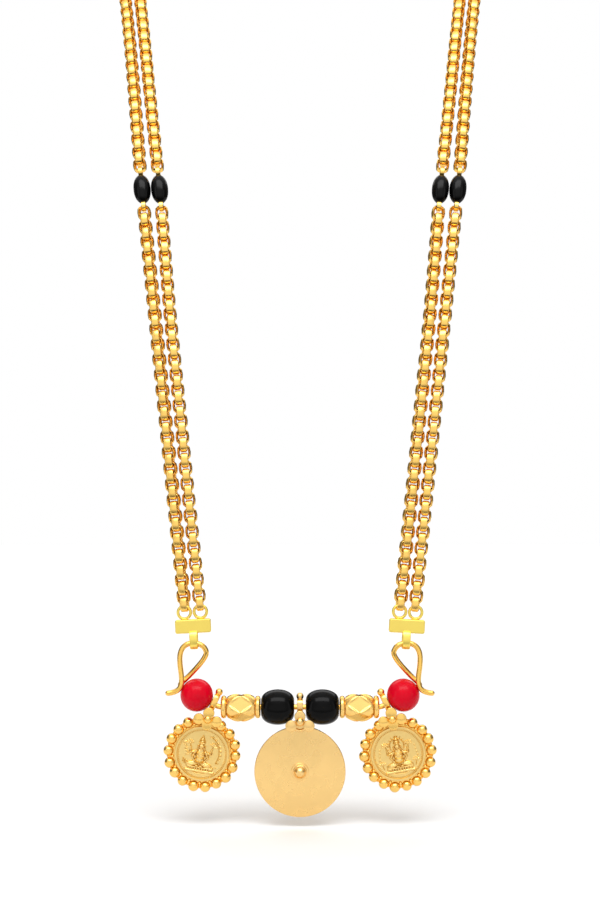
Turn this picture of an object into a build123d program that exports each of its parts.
from build123d import *
import math
import os

# A thali necklace in millimetres, in the shape it has when worn. +Z is up and the front faces -Y.
# The origin is the middle of the neck opening, at the height where the chains rest on the neck.
# Places at the front are given from the middle of the two end bars: x to the right, z up, y away
# from the viewer. Functions that take side make the left piece for -1 and the right piece for +1.

# Where the end bars hang below and in front of the neck seat
bar_drop = 190.0
bar_reach = 84.0

# End bars with their rings and bails
bar_x = 23.5
bar_length = 7.85
bar_height = 3.0
bar_thickness = 1.2
bar_tilt = 3.0
bar_corner = 0.25
end_ring_wire = 0.63
end_ring_radius = 1.39
end_ring_spacing = 3.54
solder_depth = 0.12
bar_bail_width = 1.9
bar_bail_strip = 0.5
bar_bail_depth = 3.0
bar_bail_top = -0.85
bar_bail_bottom = -5.1

# Chains, as round tubes of the chain's outer diameter
chain_diameter = 2.95
run_share = 0.45

# Oval beads in the chains, and the pins through them
oval_diameter = 3.8
oval_hole = 1.1
oval_shoulders = [(3.25, 0.85), (2.7, 1.27), (1.5, 1.73)]
pin_wire = 0.7
eye_radius = 0.8
eye_offset = 4.45

# Thali wire with its two hooks
wire_diameter = 1.17
wire_level = -17.8

# Beads on the wire: distance of the middle from the centre line, and sizes
bead_hole = 1.6
black_x = 4.73
black_radius = 3.85
black_shoulders = [(3.5, 1.45), (3.0, 2.38), (2.3, 3.2), (1.4, 3.7)]
inner_spacer_x = 9.05
inner_spacer_length = 1.0
inner_spacer_radius = 2.4
gold_x = 13.0
gold_length = 6.2
gold_facet_length = 5.5
gold_belt_radius = 3.35
gold_neck_radius = 2.1
gold_facets = 5
gold_facet_rise = 19.0
outer_spacer_x = 16.74
outer_spacer_length = 1.18
outer_spacer_radius = 2.42
spacer_rounding = 0.42
red_x = 22.7
red_radius = 3.6

# Ring bails of the three drops
bail_bore = 0.82
bail_radius = 1.36
bail_width = 1.15
bail_knob_radius = 0.8
bail_knob_rise = 2.3

# Four-petal ornament: places from its ball, in the drop's own upright frame
petal_radius = 1.15
petal_thickness = 0.5
petal_lift = 0.65
petal_reach = 1.95
top_petal_rise = 1.62
low_petal_drop = 1.0
low_ring_wire = 0.5
flower_ball_radius = 0.9

# Disc pendant
disc_radius = 10.0
disc_thickness = 0.6
disc_level = -31.75
disc_face = 1.2
disc_flower_rise = 10.2
boss_radius = 1.55
boss_base_radius = 1.95
boss_base_height = 0.25

# Coin pendants
coin_x = 21.5
coin_level = -27.85
coin_lean = 10.0
coin_radius = 6.0
coin_thickness = 0.9
coin_face = 0.9
coin_rim_width = 0.55
coin_rim_height = 0.2
coin_flower_rise = 7.6
coin_bail_x = 18.7
coin_bail_lean = 18.0
backing_radius = 7.6
backing_thickness = 0.5
ball_count = 18
ball_circle = 7.37
ball_radius = 1.16
ball_depth = 0.45
first_ball = 25.0
granule_circle = 6.57
granule_radius = 0.38
granule_depth = 0.7
relief_height = 0.25
relief_step = 0.15

# Seated figures on the coins, from the coin's middle: half widths, half heights and places
relief_figures = {
    -1: {"head": 0.62, "head_rise": 0.95, "body": (0.85, 1.25), "body_rise": -0.75, "halo": 1.25},
    1: {"head": 0.8, "head_rise": 1.25, "body": (1.25, 1.35), "body_rise": -0.6, "halo": 1.35},
}
seat_size = (5.0, 0.5)
seat_rise = -3.75
lap_size = (2.1, 0.75)
lap_rise = -2.5
arm_size = (1.7, 0.5)
arm_places = [(1.6, -0.1, 50.0), (1.9, 0.9, 70.0)]
halo_width = 0.2
crown_share = 1.7
crown_rise = 1.36


def at(x, z, y=0.0):
    """Turn a place at the front, from the middle of the end bars, into the part's frame."""
    return Vector(x, y - bar_reach, z - bar_drop)


def front_plane(x, z, lean=0.0):
    """Plane that faces the viewer, its own x turned lean degrees up from level."""
    turn = math.radians(lean)
    return Plane(origin=at(x, z), x_dir=(math.cos(turn), 0, math.sin(turn)), z_dir=(0, -1, 0))


def across_plane(x, z, lean=0.0):
    """Plane across a line that runs lean degrees up from level: its x is depth, its y is up."""
    turn = math.radians(lean)
    return Plane(origin=at(x, z), x_dir=(0, 1, 0), z_dir=(math.cos(turn), 0, math.sin(turn)))


def mirrored(points, side):
    """Points of the left side, or their mirror images on the right side."""
    return [(-side * x, y, z) for x, y, z in points]


def tangent_radii(points):
    """Radius at each corner: 0.45 of the shorter run, over the tangent of half the turn."""
    radii = []
    for before, corner, after in zip(points, points[1:], points[2:]):
        run_in = corner - before
        run_out = after - corner
        half_turn = math.radians(run_in.get_angle(run_out) / 2)
        radii.append(run_share * min(run_in.length, run_out.length) / math.tan(half_turn))
    return radii


# Chain routes on the left side, upwards from the bar's ring, as x, y, z from the middle of the bars.
# The chains lean back over the chest, pass over the shoulders and meet behind the neck.
lower_routes = {
    "outer": [(-25.4, 0.05, 5.1), (-27.8, 1.1, 27.0), (-30.4, 3.8, 50.0), (-33.1, 7.9, 72.5),
              (-35.75, 13.3, 93.3)],
    "inner": [(-22.05, 0.05, 5.1), (-24.5, 1.1, 27.0), (-27.0, 3.8, 50.0), (-29.7, 7.9, 72.5),
              (-31.75, 13.3, 93.3)],
}
neck_routes = {
    "outer": [(-37.15, 16.8, 104.5), (-39.0, 22.6, 121.5), (-41.9, 32.6, 143.5), (-45.6, 46.5, 164.0),
              (-53.5, 64.5, 180.0), (-59.0, 86.0, 189.5), (-54.5, 108.0, 194.5), (-42.0, 125.0, 197.0),
              (-24.0, 135.0, 199.0), (-8.0, 138.6, 199.8)],
    "inner": [(-33.1, 16.8, 104.5), (-35.4, 22.6, 121.5), (-38.4, 32.8, 144.0), (-42.2, 47.0, 165.5),
              (-50.3, 65.0, 182.5), (-55.8, 86.0, 192.5), (-51.6, 106.4, 197.8), (-39.8, 122.6, 200.4),
              (-22.8, 132.2, 202.3), (-7.6, 135.8, 203.0)],
}

# Middle of each oval bead, between the ends of its two chain stretches
oval_middles = {
    strand: tuple((low + high) / 2 for low, high in zip(lower_routes[strand][-1], neck_routes[strand][0]))
    for strand in lower_routes
}

# Thali wire, left half, from the hook's tip to the level part. The hook's outer leg passes in front.
hook_route = [(-28.9, -1.15, -14.55), (-27.0, -1.3, -14.35), (-25.65, -1.35, -12.5), (-26.5, -0.7, -7.4),
              (-26.1, -0.1, -4.95), (-24.6, 0.0, -3.75), (-22.5, 0.0, -3.75), (-20.95, 0.0, -4.6),
              (-20.35, 0.2, -6.5), (-24.4, 1.5, -11.2), (-26.76, 0.0, -13.01), (-17.8, 0.0, wire_level)]
hook_radii = [1.2, 2.2, 4.5, 2.6, 2.1, 2.1, 2.2, 1.9, 4.0, 0.8, 3.4]
sloped_start = hook_route[-1]
sloped_end = hook_route[-2]
wire_slope = math.degrees(math.atan2(sloped_end[2] - sloped_start[2], sloped_start[0] - sloped_end[0]))


def sloped_level(x):
    """Height of the wire's sloping end at distance x from the centre line, x over 17.8."""
    return sloped_start[2] + (x + sloped_start[0]) * math.tan(math.radians(wire_slope))


def swept_round(points, radii, diameter):
    """Round rod along straight runs joined by tangent arcs, with its length."""
    with BuildPart() as rod:
        with BuildLine() as path:
            FilletPolyline(*points, radius=radii)
        with BuildSketch(Plane(origin=path.line @ 0, z_dir=path.line % 0)):
            Circle(diameter / 2)
        sweep()
    return rod.part, sum(edge.length for edge in path.edges())


def chain_tube(points, name):
    """Tube for one stretch of chain, written to its file."""
    route = [at(x, z, y) for x, y, z in points]
    radii = tangent_radii(route)
    tube, length = swept_round(route, radii, chain_diameter)
    section = math.pi * chain_diameter ** 2 / 4
    print(name, "length", round(length, 1), "volume / (section x length)",
          round(tube.volume / (section * length), 4), "radii", [round(radius) for radius in radii])
    save(tube, name)
    return length


def save(solid, name):
    solid.label = name
    export_step(solid, f"parts/{name}.step")


def end_bar(side):
    """Flat bar with two rings on its upper edge and a strip bail below, soldered into one."""
    face = front_plane(side * bar_x, 0.0, lean=-side * bar_tilt)
    strip_plane = across_plane(side * bar_x, 0.0, lean=-side * bar_tilt)
    ring_height = bar_height / 2 + end_ring_radius + end_ring_wire / 2 - solder_depth
    bail_height = bar_bail_top - bar_bail_bottom
    bail_middle = (bar_bail_top + bar_bail_bottom) / 2
    with BuildPart(face) as bar:
        Box(bar_length, bar_height, bar_thickness)
        fillet(bar.edges(), bar_corner)
        with Locations((-end_ring_spacing / 2, ring_height), (end_ring_spacing / 2, ring_height)):
            Torus(end_ring_radius, end_ring_wire / 2)
        with BuildSketch(strip_plane):
            with Locations((0, bail_middle)):
                SlotOverall(bail_height, bar_bail_depth, rotation=90)
                SlotOverall(bail_height - 2 * bar_bail_strip, bar_bail_depth - 2 * bar_bail_strip,
                            rotation=90, mode=Mode.SUBTRACT)
        extrude(amount=bar_bail_width / 2, both=True)
    return bar.part


def strand_plane(strand, side):
    """Plane across an oval bead: its z runs up the strand, its x across it."""
    low = lower_routes[strand][-1]
    high = neck_routes[strand][0]
    middle = oval_middles[strand]
    axis = Vector(-side * (high[0] - low[0]), high[1] - low[1], high[2] - low[2]).normalized()
    across = Vector(1, 0, 0) - axis * axis.X
    return Plane(origin=at(-side * middle[0], middle[2], middle[1]), x_dir=across, z_dir=axis)


def turned_bead(plane, shoulders, middle_radius, hole):
    """Bead turned round the plane's x: shoulders are distances from its middle and radii there."""
    half, end_radius = shoulders[0]
    rising = [(-x, radius) for x, radius in shoulders]
    falling = [(x, radius) for x, radius in reversed(shoulders)]
    with BuildPart() as bead:
        with BuildSketch(plane):
            with BuildLine():
                Line((-half, hole / 2), (-half, end_radius))
                Spline(*rising, (0, middle_radius), *falling)
                Line((half, end_radius), (half, hole / 2))
                Line((half, hole / 2), (-half, hole / 2))
            make_face()
        revolve(axis=Axis(plane.origin, plane.x_dir))
    return bead.part


def oval_bead(strand, side):
    """Oval bead on the strand, drilled from end to end."""
    base = strand_plane(strand, side)
    plane = Plane(origin=base.origin, x_dir=base.z_dir, z_dir=base.y_dir)
    return turned_bead(plane, oval_shoulders, oval_diameter / 2, oval_hole)


def eye_pin(strand, side):
    """Wire through an oval bead, with a round eye at each end, edge on to the viewer."""
    base = strand_plane(strand, side)
    with BuildPart(base) as pin:
        Cylinder(pin_wire / 2, 2 * (eye_offset - eye_radius))
        with Locations((0, 0, eye_offset), (0, 0, -eye_offset)):
            Torus(eye_radius, pin_wire / 2, rotation=(0, 90, 0))
    return pin.part


def thali_wire():
    """One wire, hooked at both ends, with its length."""
    left = [at(x, z, y) for x, y, z in hook_route]
    right = [at(-x, z, y) for x, y, z in reversed(hook_route)]
    radii = hook_radii + hook_radii[::-1]
    return swept_round(left + right, radii, wire_diameter)


def red_bead(side):
    """Round bead, drilled along the sloping end of the wire."""
    plane = across_plane(side * red_x, sloped_level(red_x), lean=side * wire_slope)
    with BuildPart(plane) as bead:
        Sphere(red_radius)
        Hole(bead_hole / 2)
    return bead.part


def black_bead(side):
    """Barrel bead with rounded ends, drilled along the wire."""
    return turned_bead(front_plane(side * black_x, wire_level), black_shoulders, black_radius, bead_hole)


def spacer(side, x, length, radius):
    """Ring with a rounded rim, drilled along the wire."""
    plane = across_plane(side * x, wire_level)
    with BuildPart() as ring:
        with BuildSketch(plane):
            Circle(radius)
            Circle(bead_hole / 2, mode=Mode.SUBTRACT)
        extrude(amount=length / 2, both=True)
        rims = ring.edges().filter_by(GeomType.CIRCLE).sort_by(SortBy.RADIUS)[-2:]
        fillet(rims, spacer_rounding * length)
    return ring.part


def gold_bead(side):
    """Faceted barrel: flat rhombs round the middle, triangles between them, a neck at each end."""
    plane = across_plane(side * gold_x, wire_level)
    half = gold_facet_length / 2
    half_facet = 180 / gold_facets
    rhomb_distance = gold_belt_radius * math.cos(math.radians(half_facet))
    end_apothem = rhomb_distance * math.cos(math.radians(half_facet))
    taper = math.degrees(math.atan((gold_belt_radius - end_apothem) / half))
    facing = 180 - gold_facet_rise
    with BuildPart() as bead:
        with BuildSketch(plane):
            RegularPolygon(rhomb_distance, gold_facets, major_radius=False, rotation=facing + half_facet)
        extrude(amount=half, both=True)
        with BuildSketch(plane):
            RegularPolygon(gold_belt_radius, gold_facets, major_radius=False, rotation=facing)
        extrude(amount=half, both=True, taper=taper, mode=Mode.INTERSECT)
        with BuildSketch(plane):
            Circle(gold_neck_radius)
        extrude(amount=gold_length / 2, both=True)
        with Locations(plane):
            Hole(bead_hole / 2)
    return bead.part


def bail_outline(plane):
    """Side view of a ring bail round the wire, with a rounded knob on top."""
    with BuildSketch(plane) as outline:
        Circle(bail_radius)
        with Locations((0, bail_knob_rise)):
            Circle(bail_knob_radius)
        make_hull()
        Circle(bail_bore, mode=Mode.SUBTRACT)
    return outline.sketch


def flower_outline(plane, rise):
    """Four petals round a middle, rise above the plane's origin."""
    with BuildSketch(plane) as outline:
        with Locations((0, rise), (0, rise + top_petal_rise), (0, rise - low_petal_drop),
                       (-petal_reach, rise), (petal_reach, rise)):
            Circle(petal_radius)
    return outline.sketch


def disc_pendant():
    """Thin disc with a boss, hung from its ring bail and ornament."""
    face = front_plane(0.0, disc_level)
    back = face.offset(disc_face - disc_thickness)
    bail_plane = across_plane(0.0, wire_level)
    stem_top = wire_level - disc_level - bail_bore
    stem_bottom = disc_radius - petal_radius
    flower_level = disc_face + petal_lift
    with BuildPart(face) as pendant:
        with BuildSketch(back):
            Circle(disc_radius)
        extrude(amount=disc_thickness)
        extrude(bail_outline(bail_plane), amount=bail_width / 2, both=True)
        with BuildSketch(back):
            with Locations((0, (stem_top + stem_bottom) / 2)):
                Rectangle(bail_width, stem_top - stem_bottom)
            with Locations((0, disc_flower_rise)):
                Circle(petal_radius)
        extrude(amount=disc_thickness + petal_lift)
        extrude(flower_outline(face.offset(flower_level), disc_flower_rise), amount=petal_thickness)
        with Locations((0, disc_flower_rise, flower_level + petal_thickness)):
            Sphere(flower_ball_radius)
        with Locations((0, disc_flower_rise - low_petal_drop, flower_level + petal_thickness)):
            Torus(petal_radius, low_ring_wire / 2)
        with BuildSketch(face.offset(disc_face)):
            Circle(boss_base_radius)
        extrude(amount=boss_base_height)
        with Locations((0, 0, disc_face + boss_base_height)):
            Sphere(boss_radius)
    return pendant.part


def seat_outline(plane, side):
    """Seat, lap, arms and halo of the seated figure."""
    figure = relief_figures[side]
    with BuildSketch(plane) as outline:
        with Locations((0, seat_rise)):
            Rectangle(*seat_size)
        with Locations((0, lap_rise)):
            Ellipse(*lap_size)
        with Locations((0, figure["head_rise"])):
            Circle(figure["halo"])
            Circle(figure["halo"] - halo_width, mode=Mode.SUBTRACT)
        for x, rise, turn in arm_places:
            with Locations((x, rise)):
                SlotOverall(*arm_size, rotation=turn)
            with Locations((-x, rise)):
                SlotOverall(*arm_size, rotation=-turn)
    return outline.sketch


def body_outline(plane, side):
    """Body, head and crown of the seated figure."""
    figure = relief_figures[side]
    crown = crown_share * figure["head"]
    with BuildSketch(plane) as outline:
        with Locations((0, figure["body_rise"])):
            Ellipse(*figure["body"])
        with Locations((0, figure["head_rise"])):
            Circle(figure["head"])
        with Locations((0, figure["head_rise"] + crown_rise * figure["head"])):
            Triangle(c=crown, a=crown, b=crown)
    return outline.sketch


def coin_pendant(side):
    """Coin with a raised rim and figure in a ring of balls, hung from its ring bail and ornament."""
    face = front_plane(side * coin_x, coin_level, lean=side * coin_lean)
    back = face.offset(coin_face - coin_thickness)
    front = face.offset(coin_face)
    first = 90 + side * first_ball
    bail_plane = across_plane(side * coin_bail_x, sloped_level(coin_bail_x), lean=side * coin_bail_lean)
    bail_place = face.to_local_coords(bail_plane.origin)
    stem_top = bail_place.Y - bail_bore
    stem_bottom = coin_flower_rise - petal_radius
    flower_level = coin_face + petal_lift
    with BuildPart(face) as pendant:
        with BuildSketch(back):
            Circle(backing_radius)
        extrude(amount=backing_thickness)
        with Locations((0, 0, ball_depth)):
            with PolarLocations(ball_circle, ball_count, start_angle=first):
                Sphere(ball_radius)
        with BuildSketch(back):
            Circle(coin_radius)
        extrude(amount=coin_thickness)
        with Locations((0, 0, granule_depth)):
            with PolarLocations(granule_circle, ball_count, start_angle=first + 180 / ball_count):
                Sphere(granule_radius)
        with BuildSketch(front):
            Circle(coin_radius)
            Circle(coin_radius - coin_rim_width, mode=Mode.SUBTRACT)
        extrude(amount=coin_rim_height)
        extrude(seat_outline(front, side), amount=relief_height)
        extrude(body_outline(front, side), amount=relief_height + relief_step)
        extrude(bail_outline(bail_plane), amount=bail_width / 2, both=True)
        with BuildSketch(face):
            with Locations((bail_place.X / 2, (stem_top + stem_bottom) / 2)):
                Rectangle(bail_width, stem_top - stem_bottom)
            with Locations((0, coin_flower_rise)):
                Circle(petal_radius)
        extrude(amount=flower_level)
        extrude(flower_outline(face.offset(flower_level), coin_flower_rise), amount=petal_thickness)
        with Locations((0, coin_flower_rise, flower_level + petal_thickness)):
            Sphere(flower_ball_radius)
    return pendant.part


def main():
    os.makedirs("parts", exist_ok=True)
    lengths = {}
    for strand in lower_routes:
        neck = neck_routes[strand]
        loop = [*neck, *reversed(mirrored(neck, 1))]
        lengths[strand] = chain_tube(loop, f"{strand}_chain_neck")
        for side, word in ((-1, "left"), (1, "right")):
            stretch = mirrored(lower_routes[strand], side)
            lengths[strand] += chain_tube(stretch, f"{strand}_chain_{word}")
            save(oval_bead(strand, side), f"oval_bead_{strand}_{word}")
            save(eye_pin(strand, side), f"eye_pin_{strand}_{word}")
    print("chain lengths without beads", lengths)
    wire, wire_length = thali_wire()
    print("wire length", round(wire_length, 1), "volume ratio",
          round(wire.volume / (math.pi * wire_diameter ** 2 / 4 * wire_length), 4), "slope", wire_slope)
    save(wire, "thali_wire")
    for side, word in ((-1, "left"), (1, "right")):
        save(end_bar(side), f"end_bar_{word}")
        save(red_bead(side), f"red_bead_{word}")
        save(black_bead(side), f"black_bead_{word}")
        save(gold_bead(side), f"gold_bead_{word}")
        save(spacer(side, inner_spacer_x, inner_spacer_length, inner_spacer_radius), f"inner_spacer_{word}")
        save(spacer(side, outer_spacer_x, outer_spacer_length, outer_spacer_radius), f"outer_spacer_{word}")
        save(coin_pendant(side), f"coin_pendant_{word}")
    save(disc_pendant(), "disc_pendant")


main()
